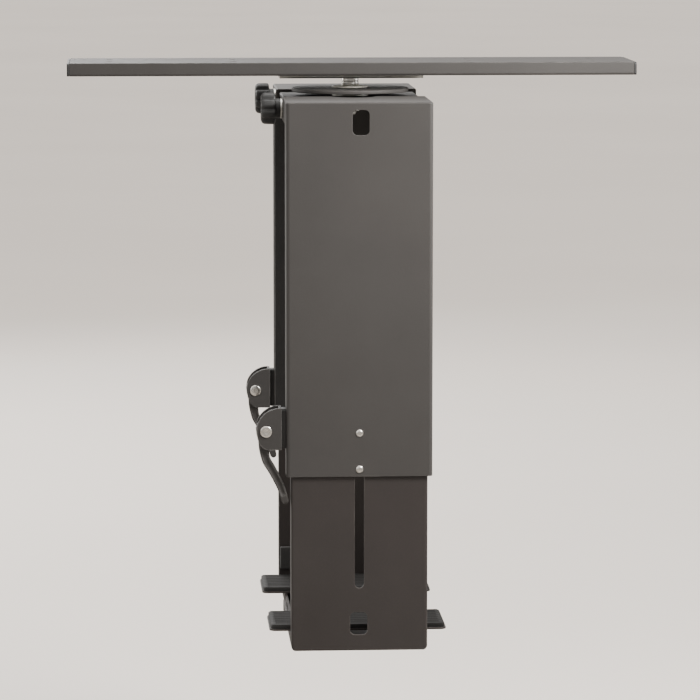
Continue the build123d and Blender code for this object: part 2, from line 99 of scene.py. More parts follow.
class Shader:
    """A Principled material and short-hands for the nodes that feed it."""

    def __init__(self, name):
        self.material = bpy.data.materials.new(name)
        self.material.use_nodes = True
        self.tree = self.material.node_tree
        self.place = self.node("ShaderNodeTexCoord").outputs["Object"]

    def node(self, kind, inputs={}, **settings):
        return add_node(self.tree, kind, inputs, **settings)

    def stretch(self, scale):
        inputs = {"Scale": scale, "Vector": self.place}
        return self.node("ShaderNodeMapping", inputs).outputs["Vector"]

    def noise(self, scale, detail=3.0, rough=0.6, place=None):
        inputs = {"Scale": scale, "Detail": detail, "Roughness": rough,
                  "Vector": place or self.place}
        return self.node("ShaderNodeTexNoise", inputs).outputs["Fac"]

    def cells(self, scale):
        inputs = {"Scale": scale, "Vector": self.place}
        return self.node("ShaderNodeTexVoronoi", inputs).outputs["Distance"]

    def remap(self, value, span=(0.3, 0.7), to=(0.0, 1.0)):
        return self.node("ShaderNodeMapRange", map_range(value, span, to)).outputs["Result"]

    def maths(self, operation, a, b):
        return self.node("ShaderNodeMath", {0: a, 1: b}, operation=operation).outputs[0]

    def mix(self, factor, a, b):
        inputs = {"Factor": factor, 6: a, 7: b}
        return self.node("ShaderNodeMix", inputs, data_type="RGBA").outputs[2]

    def bevel(self, radius, samples):
        """The surface normal with its outer edges eased over."""
        inputs = {"Radius": radius}
        return self.node("ShaderNodeBevel", inputs, samples=samples).outputs["Normal"]

    def rub(self, radius, bent, patches, span, to):
        """Patchy edge wear, partly a painted edge highlight: strongest on outer edges, 0 on flats.

        `bent` is the cosine between eased and true normals at which an edge counts in full.
        """
        eased = self.bevel(radius, samples=6)
        true = self.node("ShaderNodeNewGeometry").outputs["True Normal"]
        dot = self.node("ShaderNodeVectorMath", {0: eased, 1: true}, operation="DOT_PRODUCT")
        edge = self.remap(dot.outputs["Value"], span=(0.995, bent))
        return self.maths("MULTIPLY", edge, self.remap(self.noise(scale=patches), span, to))

    def bump(self, height, distance, strength, normal=None):
        inputs = {"Strength": strength, "Distance": distance, "Height": height}
        if normal is not None:
            inputs["Normal"] = normal
        return self.node("ShaderNodeBump", inputs).outputs["Normal"]

    def finish(self, colour, rough, normal, others={}):
        inputs = {"Base Color": colour, "Roughness": rough, "Normal": normal, **others}
        feed(self.tree, self.tree.nodes["Principled BSDF"], inputs)
        return self.material


def scaled(tone, factor):
    return tuple(factor * c for c in tone)


# ---------------------------------------------------------------- materials
def powder_coat(name, dark, light, wear_and_highlight):
    """Grainy coat, clouded and speckled, paler on its edges: partly rubbed wear, partly a painted
    edge highlight.
    """
    shader = Shader(name)
    grain = shader.noise(scale=2600, detail=2.0)
    peel = shader.noise(scale=520, detail=2.0, rough=0.5)
    cloud = shader.noise(scale=9, detail=4.0)
    speck = shader.noise(scale=3400, detail=1.0, rough=0.5)
    speck = shader.remap(speck, span=(0.60, 0.72), to=(0.0, 0.35))
    base = shader.mix(shader.remap(cloud), dark, light)
    base = shader.mix(speck, base, scaled(light, 1.9))
    # Outer edges pale to the wear colour: partly rubbed wear, partly a painted edge highlight
    rub = shader.rub(radius=0.0011, bent=0.90, patches=70, span=(0.42, 0.66), to=(0.15, 0.85))
    base = shader.mix(rub, base, wear_and_highlight)
    rough = shader.maths("ADD", shader.remap(grain, span=(0.2, 0.8), to=(0.50, 0.64)),
                         shader.remap(cloud, to=(-0.03, 0.05)))
    eased = shader.bevel(radius=0.0005, samples=4)
    normal = shader.bump(grain, distance=0.00006, strength=0.45, normal=eased)
    normal = shader.bump(peel, distance=0.00010, strength=0.35, normal=normal)
    return shader.finish(base, rough, normal, {"Specular IOR Level": 0.42})


def zinc(name, tone, rough, brush):
    """Plated metal with fine brushing, a warm cloud and a little dust."""
    shader = Shader(name)
    fine = shader.noise(scale=1500, detail=2.0, rough=0.5, place=shader.stretch(brush))
    cloud = shader.noise(scale=60)
    warm = tuple(c * k for c, k in zip(tone, (1.02, 0.98, 0.90)))
    base = shader.mix(shader.remap(cloud), tone, warm)
    dust = shader.noise(scale=400, detail=4.0, rough=0.7)
    dust = shader.remap(dust, span=(0.56, 0.75), to=(0.0, 0.35))
    base = shader.mix(dust, base, scaled(tone, 0.55))
    rough = shader.maths("ADD", shader.remap(fine, to=(rough - 0.05, rough + 0.08)),
                         shader.remap(cloud, to=(-0.02, 0.06)))
    normal = shader.bump(fine, distance=0.00002, strength=0.35)
    return shader.finish(base, rough, normal, {"Metallic": 1.0})


def moulded(name, tone, rough):
    """Moulded plastic with a cell grain, paler on its edges: partly rubbed wear, partly a painted
    edge highlight.
    """
    shader = Shader(name)
    grain = shader.cells(scale=1900)
    base = shader.mix(shader.remap(shader.noise(scale=40)), tone, scaled(tone, 1.35))
    # Outer edges turn paler: partly rubbed wear, partly a painted edge highlight
    rub = shader.rub(radius=0.0006, bent=0.92, patches=120, span=(0.4, 0.65), to=(0.1, 0.6))
    base = shader.mix(rub, base, tuple(min(1.0, 2.4 * c + 0.02) for c in tone))
    rough = shader.remap(grain, span=(0.0, 0.6), to=(rough - 0.06, rough + 0.08))
    return shader.finish(base, rough, shader.bump(grain, distance=0.00004, strength=0.35))


def foam(name, tone):
    """Open-celled foam, dark in its pores, with a slight sheen."""
    shader = Shader(name)
    cell = shader.cells(scale=1500)
    fine = shader.cells(scale=4200)
    pores = shader.remap(cell, span=(0.05, 0.45))
    base = shader.mix(pores, scaled(tone, 0.45), scaled(tone, 1.25))
    cloud = shader.noise(scale=30, detail=4.0)
    cloud = shader.remap(cloud, span=(0.35, 0.7), to=(0.0, 0.45))
    base = shader.mix(cloud, base, scaled(tone, 1.9))
    normal = shader.bump(fine, distance=0.00005, strength=0.4)
    normal = shader.bump(cell, distance=0.00016, strength=0.6, normal=normal)
    sheen = {"Sheen Weight": 0.15, "Sheen Roughness": 0.6}
    return shader.finish(base, 0.93, normal, sheen)


def rubber(name, tone):
    shader = Shader(name)
    fine = shader.noise(scale=1800)
    cloud = shader.remap(shader.noise(scale=25, detail=4.0), span=(0.35, 0.7))
    base = shader.mix(cloud, tone, scaled(tone, 1.6))
    rough = shader.remap(fine, to=(0.68, 0.84))
    return shader.finish(base, rough, shader.bump(fine, distance=0.00005, strength=0.4))


def nylon(name, tone, pale):
    shader = Shader(name)
    fine = shader.noise(scale=700)
    base = shader.mix(shader.remap(shader.noise(scale=50, rough=0.5)), tone, pale)
    rough = shader.remap(fine, to=(0.34, 0.46))
    normal = shader.bump(fine, distance=0.00003, strength=0.3)
    depth = {"Subsurface Weight": 0.15, "Subsurface Radius": (0.001, 0.001, 0.0008)}
    return shader.finish(base, rough, normal, depth)


MATERIALS = {name: make(name, **values) for name, make, values in (
    ("powder_coat", powder_coat, dict(
        dark=(0.046, 0.0425, 0.0400), light=(0.0545, 0.0505, 0.0475), wear_and_highlight=(0.20, 0.19, 0.18))),
    # A darker copy of powder_coat: painted shade for the recessed lower brackets and shelves
    ("powder_coat_lower", powder_coat, dict(
        dark=(0.030, 0.0245, 0.0225), light=(0.037, 0.0305, 0.028), wear_and_highlight=(0.14, 0.13, 0.12))),
    ("cap_plastic", moulded, dict(tone=(0.022, 0.022, 0.022), rough=0.48)),
    ("zinc", zinc, dict(tone=(0.60, 0.60, 0.58), rough=0.34, brush=(1.0, 1.0, 8.0))),
    ("zinc_bright", zinc, dict(tone=(0.83, 0.82, 0.80), rough=0.22, brush=(6.0, 1.0, 1.0))),
    ("nylon", nylon, dict(tone=(0.78, 0.75, 0.66), pale=(0.86, 0.84, 0.78))),
    ("eva_foam", foam, dict(tone=(0.021, 0.0202, 0.0195))),
    ("mat_rubber", rubber, dict(tone=(0.016, 0.0152, 0.0146))),
    ("lever_plastic", moulded, dict(tone=(0.026, 0.025, 0.024), rough=0.50)),
    ("lever_grey", powder_coat, dict(
        dark=(0.034, 0.031, 0.029), light=(0.042, 0.038, 0.036), wear_and_highlight=(0.22, 0.21, 0.20))),
    ("ear_coat", powder_coat, dict(
        dark=(0.036, 0.0335, 0.0315), light=(0.045, 0.0415, 0.0395), wear_and_highlight=(0.24, 0.23, 0.22))),
    ("knob_plastic", moulded, dict(tone=(0.020, 0.020, 0.020), rough=0.46)),
)}


# ---------------------------------------------------------------- mesh helpers
def add_object(name, mesh, material):
    obj = bpy.data.objects.new(name, mesh)
    bpy.context.scene.collection.objects.link(obj)
    mesh.materials.append(material)
    return obj


def shade(mesh, sharp_deg):
    """Smooth shading, broken at edges sharper than the angle."""
    mesh.shade_smooth()
    mesh.set_sharp_from_angle(angle=math.radians(sharp_deg))


def add_mesh(name, verts, faces, material, sharp_deg=35.0):
    mesh = bpy.data.meshes.new(name)
    mesh.from_pydata([tuple(v) for v in verts], [], faces)
    mesh.update()
    bm = bmesh.new()
    bm.from_mesh(mesh)
    bmesh.ops.remove_doubles(bm, verts=bm.verts, dist=1e-7)
    bmesh.ops.recalc_face_normals(bm, faces=bm.faces)
    bm.to_mesh(mesh)
    bm.free()
    obj = add_object(name, mesh, MATERIALS[material])
    shade(mesh, sharp_deg)
    return obj


def register(obj, body, node):
    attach(obj, body)
    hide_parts(node)


def put(name, shape, material, body, node, sharp_deg=35.0):
    """Add a piece from its (verts, faces) and register it."""
    obj = add_mesh(name, *shape, material, sharp_deg)
    register(obj, body, node)


# Axis letter: direction along the axis, then the two across it
AXES = {
    "x": (Vector((1, 0, 0)), Vector((0, 1, 0)), Vector((0, 0, 1))),
    "y": (Vector((0, 1, 0)), Vector((0, 0, 1)), Vector((1, 0, 0))),
    "z": (Vector((0, 0, 1)), Vector((1, 0, 0)), Vector((0, 1, 0))),
}


def turn(rows, origin, axis, segs, closed=False):
    """Verts and faces of a turned form.

    Rows are (place along the axis, radius or radius(angle)) in mm, and origin holds the other
    two coordinates. A closed form wraps from the last row to the first, as a washer does.
    """
    along, across, upward = AXES[axis]
    centre = Vector(origin) * MM
    verts, faces = [], []
    for place, radius in rows:
        for j in range(segs):
            angle = 2 * math.pi * j / segs
            r = (radius(angle) if callable(radius) else radius) * MM
            verts.append(centre + along * (place * MM)
                         + across * (r * math.cos(angle)) + upward * (r * math.sin(angle)))
    count = len(rows)
    for i in range(count if closed else count - 1):
        k = (i + 1) % count
        for j in range(segs):
            jj = (j + 1) % segs
            faces.append((i * segs + j, i * segs + jj, k * segs + jj, k * segs + j))
    if not closed:
        for i in (0, count - 1):
            hub = len(verts)
            verts.append(centre + along * (rows[i][0] * MM))
            for j in range(segs):
                faces.append((i * segs + j, i * segs + (j + 1) % segs, hub))
    return verts, faces


def join(*shapes):
    verts, faces = [], []
    for more_verts, more_faces in shapes:
        start = len(verts)
        verts += more_verts
        faces += [tuple(i + start for i in face) for face in more_faces]
    return verts, faces


def mirrored(rows, side):
    """Rows along Y, moved to the given side."""
    return [(side * place, radius) for place, radius in rows]


def thread(radius, pitch, start, end):
    """Rows of a helical thread, chamfered at its end."""
    def ridge(place):
        from_end = min(abs(place - end) / (0.7 * pitch), 1.0)

        def at(angle):
            phase = (place / pitch - angle / (2 * math.pi)) % 1.0
            tooth = 1 - abs(2 * phase - 1)
            groove = 0.55 * pitch * (1 - min(1.0, 1.25 * tooth))
            return radius - groove - (1 - from_end) * 0.6 * pitch
        return at

    steps = max(8, int(abs(end - start) / (pitch / 6)))
    places = [start + (end - start) * i / steps for i in range(steps + 1)]
    return [(place, ridge(place)) for place in places]


def hexagon(flats):
    """Radius of a hexagon by angle, from its width across flats."""
    def at(angle):
        turned = (angle + math.pi / 6) % (math.pi / 3) - math.pi / 6
        return flats / 2 / math.cos(turned)
    return at


def lock_nut(base, top, flats, bore, collar):
    """Closed rows of a hexagon nut, chamfered at the top, with a round insert collar at its base."""
    outline, half = hexagon(flats), flats / 2
    chamfer = 0.55 * 0.13 * flats

    def capped(limit):
        return lambda angle: min(outline(angle), half * limit)

    rows = [(top - chamfer * i / 4, capped(0.97 + 0.20 * i / 4)) for i in range(5)]
    return rows + [
        (base + collar, capped(1.14)), (base + collar - 0.25, half),
        (base + collar - 0.5, half * 0.93), (base + 0.5, half * 0.93), (base, half * 0.82),
        (base, bore + 1.0), (base + 0.6, bore + 0.7), (base + 0.35, bore),
        (top - 0.35, bore), (top, bore + 0.4),
    ]


def lobed(table, count):
    """Rows of a knob with scalloped sides; table columns are place, radius, scallop depth."""
    def outline(radius, depth):
        return lambda angle: radius - depth * (0.5 + 0.5 * math.cos(count * angle)) ** 3
    return [(place, outline(radius, depth)) for place, radius, depth in table]


# ---------------------------------------------------------------- CAD pieces kept in shape
def keep(node, material, bevel, segments=2):
    """Give a CAD piece its material and eased edges; bevel is in mm, 0 for none."""
    obj = nodes[node]
    for slot in obj.material_slots:
        slot.material = MATERIALS[material]
    weld = obj.modifiers.new("weld", "WELD")
    weld.merge_threshold = 2e-6
    flat = obj.modifiers.new("flat", "DECIMATE")
    flat.decimate_type = "DISSOLVE"
    flat.angle_limit = math.radians(0.6)
    if bevel:
        edge = obj.modifiers.new("edge", "BEVEL")
        edge.width = bevel * MM
        edge.segments = segments
        edge.limit_method = "ANGLE"
        edge.angle_limit = math.radians(42)
        edge.loop_slide = False
        edge.use_clamp_overlap = False
    normals = obj.modifiers.new("shade", "WEIGHTED_NORMAL")
    normals.keep_sharp = False
    normals.weight = 80
    obj.data.shade_smooth()


keep("track", "powder_coat", bevel=0.35)
for node in ("bridge_channel", "swivel_disc"):
    keep(node, "powder_coat", bevel=0.3)
keep("carriage", "zinc", bevel=0.3)
for end, _ in ENDS:
    keep(f"track_end_cap_{end}", "cap_plastic", bevel=0.5, segments=3)
    for side_name, _ in SIDES:
        keep(f"glide_{end}_{side_name}", "nylon", bevel=0.5, segments=3)
keep("swivel_hub", "zinc", bevel=0.2)
keep("pivot_bushing", "nylon", bevel=0.0)
for node in ("thrust_washer", "lower_washer"):
    keep(node, "nylon", bevel=0.25)
for side_name, _ in SIDES:
    for part, material, bevel in (
        ("upper_bracket", "powder_coat", 0.35),
        # The lower bracket and shelf take the darker copy of the coat: painted shade
        ("lower_bracket", "powder_coat_lower", 0.3 if side_name == "near" else 0.1),
        ("shelf", "powder_coat_lower", 0.3),
        ("lever_ear", "ear_coat", 0.1),
        ("ear_spacer", "lever_plastic", 0.3),
        ("width_nut", "zinc", 0.3),
        ("knob_washer", "zinc", 0.2),
    ):
        keep(f"{side_name}_{part}", material, bevel)


# ---------------------------------------------------------------- pivot hardware
def pivot_hardware():
    """Bolt, grooved collar and lock nut on the Z axis."""
    bolt = [
        (-9.6, 3.0), (-6.8, 3.4), (-6.8, 5.6), (-6.9, 7.0), (-7.4, 8.6), (-8.3, 9.6),
        (-9.2, 9.95), (-10.8, 10.0), (-11.0, 9.8), (-11.0, 5.0), (-13.0, 5.0), (-28.0, 5.0),
    ] + thread(radius=5.0, pitch=1.5, start=-28.2, end=-41.5)
    collar = [
        (-13.0, 6.2), (-13.25, 6.5), (-13.6, 6.6), (-15.4, 6.6), (-15.6, 6.4), (-16.0, 6.3),
        (-16.4, 6.4), (-16.6, 6.6), (-19.0, 6.6), (-19.35, 6.5), (-19.6, 6.2), (-19.6, 5.3),
        (-19.3, 5.1), (-13.3, 5.1), (-13.0, 5.3),
    ]
    nut = lock_nut(base=-39.0, top=-31.0, flats=17.0, bore=5.05, collar=2.2)
    put("pivot_bolt_turned", turn(bolt, (0, 0, 0), "z", 56), "zinc", "trolley", "pivot_bolt")
    put("pivot_collar_turned", turn(collar, (0, 0, 0), "z", 64, closed=True),
        "zinc_bright", "trolley", "pivot_collar")
    put("pivot_nut_hex", turn(nut, (0, 0, 0), "z", 96, closed=True),
        "zinc", "trolley", "pivot_nut")


# ---------------------------------------------------------------- foam strips and shelf mats
def foam_strip(name, x, y, z, radius, side, body, node):
    """A cut strip with rounded corners, a flat glued back facing outward and a faint waviness."""
    step, soft = 3.0, 0.12  # spacing of the cuts across the mesh, depth of the waviness
    lo = Vector((min(x), min(y), min(z)))
    hi = Vector((max(x), max(y), max(z)))
    size, middle = hi - lo, (hi + lo) / 2
    glued_y = (hi if side > 0 else lo).y
    bm = bmesh.new()
    bmesh.ops.create_cube(bm, size=1.0)
    for v in bm.verts:
        v.co = Vector((v.co.x * size.x, v.co.y * size.y, v.co.z * size.z)) + middle
    free = [e for e in bm.edges if not all(abs(v.co.y - glued_y) < 1e-6 for v in e.verts)]
    bmesh.ops.bevel(bm, geom=free, offset=radius, segments=4, profile=0.6, affect="EDGES",
                    clamp_overlap=True)
    for axis in range(3):
        normal = Vector([1.0 if i == axis else 0.0 for i in range(3)])
        cuts = int(size[axis] // step)
        for i in range(1, cuts):
            place = lo[axis] + size[axis] * i / cuts
            bmesh.ops.bisect_plane(bm, geom=bm.verts[:] + bm.edges[:] + bm.faces[:],
                                   plane_co=normal * place, plane_no=normal, dist=1e-5)
    bmesh.ops.recalc_face_normals(bm, faces=bm.faces)
    bm.normal_update()
    for v in bm.verts:
        away = min(1.0, abs(v.co.y - glued_y) / (size.y * 0.5))
        wave = noise.noise(v.co * 0.09) * soft + noise.noise(v.co * 0.6) * soft * 0.5
        v.co -= v.normal * away * (soft * 0.8 + wave)
    for v in bm.verts:
        v.co *= MM
    mesh = bpy.data.meshes.new(name)
    bm.to_mesh(mesh)
    bm.free()
    obj = add_object(name, mesh, MATERIALS["eva_foam"])
    shade(mesh, 50)
    register(obj, body, node)


def shelf_mat(side_name, side):
    """A moulded mat: rounded outline, plain border and raised half-round ribs along X."""
    x0, x1 = -66.0, 66.0
    y0, y1 = sorted((side * 48.0, side * 103.5))
    bottom, top = -424.0, -420.7
    border, corner = 4.0, 4.0
    rib_height, rib_half = 0.9, 0.28  # rib_half is a share of the pitch
    floor = top - rib_height
    ribs = int((y1 - y0 - 2 * border) // 6.0)
    pitch = (y1 - y0 - 2 * border) / ribs
    rim = ((0.0, 1.0), (0.3, 0.3), (0.9, 0.05), (border - 0.5, 0.05))  # distance in, drop

    ys = [y0 + inset for inset, _ in rim]
    heights = [top - drop for _, drop in rim]
    for k in range(ribs):
        for share in (0.0, 0.12, 0.26, 0.38, 0.5, 0.62, 0.74, 0.88):
            off = abs(share - 0.5) / rib_half
            ys.append(y0 + border + (k + share) * pitch)
            heights.append(floor + rib_height * math.sqrt(max(0.0, 1 - off ** 2)))
    ys += [y1 - border] + [y1 - inset for inset, _ in reversed(rim)]
    heights += [floor] + [top - drop for _, drop in reversed(rim)]
    inner = border + 0.3
    xs = [x0 + inset for inset, _ in rim]
    xs += [x0 + inner + (x1 - x0 - 2 * inner) * i / 24 for i in range(25)]
    xs += [x1 - inset for inset, _ in reversed(rim)]
    nx, ny = len(xs), len(ys)

    def rounded(x, y):
        """Pulls the four corners in to a radius."""
        core_x = min(max(x, x0 + corner), x1 - corner)
        core_y = min(max(y, y0 + corner), y1 - corner)
        dx, dy = x - core_x, y - core_y
        if not (dx and dy):
            return x, y
        pull = max(abs(dx), abs(dy)) / math.hypot(dx, dy)
        return core_x + dx * pull, core_y + dy * pull

    verts, faces = [], []
    for i, x in enumerate(xs):
        from_end = min(i, nx - 1 - i)
        for j, y in enumerate(ys):
            height = heights[j]
            if from_end < 2:
                height = min(height, top - rim[from_end][1])
            elif from_end < 4 and (height > floor or 3 < j < ny - 5):
                height = top - 0.05
            verts.append(Vector((*rounded(x, y), height)) * MM)
    for i in range(nx - 1):
        for j in range(ny - 1):
            a = i * ny + j
            faces.append((a, a + ny, a + ny + 1, a + 1))
    # Walls down from the outline, and a fan across the bottom
    outline = [i * ny for i in range(nx)]
    outline += [(nx - 1) * ny + j for j in range(1, ny)]
    outline += [i * ny + ny - 1 for i in range(nx - 2, -1, -1)]
    outline += list(range(ny - 2, 0, -1))
    base, count = len(verts), len(outline)
    for i in outline:
        verts.append(Vector((verts[i].x, verts[i].y, bottom * MM)))
    for k in range(count):
        kk = (k + 1) % count
        faces.append((outline[k], outline[kk], base + kk, base + k))
    verts.append(Vector(((x0 + x1) / 2, (y0 + y1) / 2, bottom)) * MM)
    for k in range(count):
        faces.append((base + k, base + (k + 1) % count, base + count))
    put(f"{side_name}_shelf_mat", (verts, faces), "mat_rubber", f"{side_name}_lower",
        f"{side_name}_shelf_pad", sharp_deg=60)


# ---------------------------------------------------------------- cam lever
# Centre line from the top down: x, z
LEVER_LINE = [
    (-68.9, -262.1), (-68.9, -266.3), (-68.9, -270.5), (-70.3, -277.0), (-71.2, -284.0),
    (-69.6, -292.7), (-65.6, -299.8), (-61.8, -306.9), (-57.9, -315.5), (-54.9, -325.7),
]
LEVER_HEAD, LEVER_TIP = 8.4, 2.5  # radius of the round head, length of the closing tip
LEVER_THICK = 6.7                 # half thickness
# Quarter section: share of the half width, distance from the middle plane, depth of the dish
LEVER_RING = [
    (0.0, LEVER_THICK, 1.1), (0.3, LEVER_THICK, 1.05), (0.52, LEVER_THICK, 0.8),
    (0.62, LEVER_THICK, 0.1), (0.72, LEVER_THICK, 0.0), (0.82, LEVER_THICK, 0.0),
    (0.92, LEVER_THICK - 0.25, 0.0), (0.98, LEVER_THICK - 0.8, 0.0),
    (1.0, LEVER_THICK - 1.6, 0.0),
]


def lever_point(t):
    """A point of the Catmull-Rom curve through the centre line, t from 0 to 1."""
    last = len(LEVER_LINE) - 1
    i = min(int(t * last), last - 1)
    f = t * last - i
    around = [LEVER_LINE[min(max(k, 0), last)] for k in range(i - 1, i + 3)]
    return tuple(
        0.5 * (2 * b + (c - a) * f + (2 * a - 5 * b + 4 * c - d) * f * f
               + (3 * b - a - 3 * c + d) * f ** 3)
        for a, b, c, d in zip(*around))


def lever_width(total):
    """The half width as a function of the distance down a lever of this length."""
    # Distance, half width; joined by a monotone cubic
    keys = [(LEVER_HEAD, 8.4), (11.5, 7.6), (14.5, 6.0), (18.0, 4.6), (22.0, 3.8),
            (30.0, 3.25), (44.0, 3.0), (56.0, 2.8), (total, 2.5)]
    rises = [(wb - wa) / (b - a) for (a, wa), (b, wb) in zip(keys, keys[1:])]
    slopes = [0.0] + [2 * p * q / (p + q) for p, q in zip(rises, rises[1:])] + [rises[-1]]

    def half(run):
        if run < LEVER_HEAD:
            return math.sqrt(max(LEVER_HEAD ** 2 - (LEVER_HEAD - run) ** 2, 0.0))
        last = len(rises) - 1
        i = next((i for i in range(last) if run <= keys[i + 1][0]), last)
        (a, wa), (b, wb) = keys[i], keys[i + 1]
        f, h = (run - a) / (b - a), b - a
        width = ((2 * f ** 3 - 3 * f * f + 1) * wa + (f ** 3 - 2 * f * f + f) * h * slopes[i]
                 + (3 * f * f - 2 * f ** 3) * wb + (f ** 3 - f * f) * h * slopes[i + 1])
        left = total - run
        if left > LEVER_TIP:
            return width
        return width * math.sqrt(max(1 - ((LEVER_TIP - left) / LEVER_TIP) ** 2, 0.0))
    return half


def lever_shape(side):
    """Verts and faces swept down the centre line, with dished sides."""
    fine = [lever_point(i / 900) for i in range(901)]
    runs = [0.0]
    for a, b in zip(fine, fine[1:]):
        runs.append(runs[-1] + math.dist(a, b))
    total = runs[-1]
    half = lever_width(total)
    tip_start = total - LEVER_TIP
    # Stations by distance, closer together where the ends close
    stations = [LEVER_HEAD * (1 - math.cos(math.pi / 2 * i / 14)) for i in range(14)]
    stations += [LEVER_HEAD + (tip_start - LEVER_HEAD) * i / 80 for i in range(80)]
    stations += [tip_start + LEVER_TIP * math.sin(math.pi / 2 * i / 8) for i in range(9)]
    section = []
    for edge, face, ring in ((1, 1, LEVER_RING), (1, -1, LEVER_RING[::-1]),
                             (-1, -1, LEVER_RING[1:]), (-1, 1, LEVER_RING[:0:-1])):
        section += [(edge * share, face, height, dish) for share, height, dish in ring]

    verts, faces = [], []
    for run in stations:
        k = min(range(len(runs)), key=lambda i: abs(runs[i] - run))
        x, z = fine[k]
        a, b = fine[max(k - 6, 0)], fine[min(k + 6, 900)]
        chord = math.dist(a, b)
        across_x, across_z = -(b[1] - a[1]) / chord, (b[0] - a[0]) / chord
        width = half(run)
        # The dish fades in below the head and out above the tip
        deep = min(1.0, max(0.0, (run - 24.0) / 3.0))
        deep *= min(1.0, max(0.0, (total - 6.0 - run) / 2.5))
        crown = 0.0
        if run > tip_start:
            into_tip = (run - tip_start) / LEVER_TIP
            crown = 1.3 * (1 - math.sqrt(max(0.0, 1 - into_tip ** 2)))
        for share, face, height, dish in section:
            y = side * LEVER_Y + face * (height - dish * deep - crown)
            offset = width * share
            verts.append(Vector((x + across_x * offset, y, z + across_z * offset)) * MM)
    count, last = len(section), len(stations) - 1
    for i in range(last):
        for k in range(count):
            kk = (k + 1) % count
            faces.append((i * count + k, i * count + kk,
                          (i + 1) * count + kk, (i + 1) * count + k))
    faces.append(tuple(range(count)))
    faces.append(tuple(last * count + k for k in reversed(range(count))))
    return verts, faces


def cam_lever(side_name, side):
    """The swept lever with a hole bored for its pin."""
    name = f"{side_name}_cam_lever_cast"
    obj = add_mesh(name, *lever_shape(side), "lever_grey")
    hole = [(side * LEVER_Y - 12, 4.1), (side * LEVER_Y + 12, 4.1)]
    drill_shape = turn(hole, (LEVER_PIN_X, 0, LEVER_PIN_Z), "y", 56)
    drill = add_mesh("drill", *drill_shape, "lever_grey")
    bore = obj.modifiers.new("bore", "BOOLEAN")
    bore.operation = "DIFFERENCE"
    bore.solver = "EXACT"
    bore.object = drill
    graph = bpy.context.evaluated_depsgraph_get()
    bored = bpy.data.meshes.new_from_object(obj.evaluated_get(graph), depsgraph=graph)
    obj.modifiers.clear()
    solid, drill_mesh = obj.data, drill.data
    obj.data = bored
    bpy.data.objects.remove(drill)
    for spare in (solid, drill_mesh):
        bpy.data.meshes.remove(spare)
    bored.name = name
    bored.materials.clear()
    bored.materials.append(MATERIALS["lever_grey"])
    shade(bored, 32)
    register(obj, f"{side_name}_lever", f"{side_name}_cam_lever")


# ---------------------------------------------------------------- pieces of each side
def guide_rivets(side_name, side):
    """Two rivets along Y: domed outer head, shank and washer face inside."""
    rows = mirrored([
        (124.2, 0.8), (124.12, 1.45), (123.9, 2.05), (123.55, 2.5), (123.2, 2.8),
        (123.0, 2.9), (123.0, 2.4), (118.4, 2.4), (118.4, 5.2), (118.2, 5.4),
        (116.8, 5.4), (116.5, 5.1), (116.4, 4.4), (116.4, 1.2),
    ], side)
    rivets = [turn(rows, (0, 0, z), "y", 40) for z in (-272.0, -299.3)]
    put(f"{side_name}_rivets_domed", join(*rivets), "zinc_bright", f"{side_name}_upper",
        f"{side_name}_guide_rivets")


def side_foam(side_name, side):
    """Tall strips on the upper bracket and short toe pads on the lower one."""
    inner_y = side * PLATE_Y
    for end, sx in ENDS:
        foam_strip(f"{side_name}_foam_{end}", (sx * 43.25, sx * 54.25), (inner_y, side * 103.0),
                   (-300.0, -50.0), 0.9, side, f"{side_name}_upper", f"{side_name}_pad_{end}")
    for end, sx in ENDS:
        foam_strip(f"{side_name}_toe_foam_{end}", (sx * 42.0, sx * 50.5),
                   (inner_y, side * 105.3), (-416.0, -398.0), 1.3, side,
                   f"{side_name}_lower", f"{side_name}_toe_pads")


def lever_hardware(side_name, side):
    """Cross pin along Y, clamp shoe and two socket screws along X."""
    upper = f"{side_name}_upper"
    pin = mirrored([
        (102.7, 1.6), (102.7, 3.6), (102.95, 4.15), (103.3, 4.4), (103.9, 4.4),
        (103.95, 4.0), (122.05, 4.0), (122.05, 4.4), (122.5, 4.4), (122.9, 4.25),
        (123.2, 3.8), (123.3, 3.0), (123.25, 1.9), (123.05, 1.3), (122.95, 0.6),
    ], side)
    shoe = [(-51.5, 2.4), (-51.5, 3.3), (-51.7, 3.75), (-52.1, 3.9), (-59.6, 3.9),
            (-60.0, 3.75), (-60.2, 3.3), (-60.2, 1.5)]
    socket = hexagon(flats=2.5)
    screw = [(-59.3, socket), (-60.0, socket), (-60.08, 1.5), (-60.1, 2.8), (-60.0, 2.95),
             (-58.8, 1.6), (-53.0, 1.6), (-52.9, 1.5), (-52.9, 0.8)]
    put(f"{side_name}_cross_pin", turn(pin, (LEVER_PIN_X, 0, LEVER_PIN_Z), "y", 48),
        "zinc_bright", upper, f"{side_name}_lever_pin")
    put(f"{side_name}_clamp_shoe_turned",
        turn(shoe, (0, side * LEVER_Y, LEVER_PIN_Z), "x", 40),
        "nylon", upper, f"{side_name}_clamp_shoe")
    screws = [turn(screw, (0, side * LEVER_Y, z), "x", 48) for z in (-257.0, -281.2)]
    put(f"{side_name}_ear_screws_socket", join(*screws), "zinc", upper,
        f"{side_name}_ear_screws", sharp_deg=30)


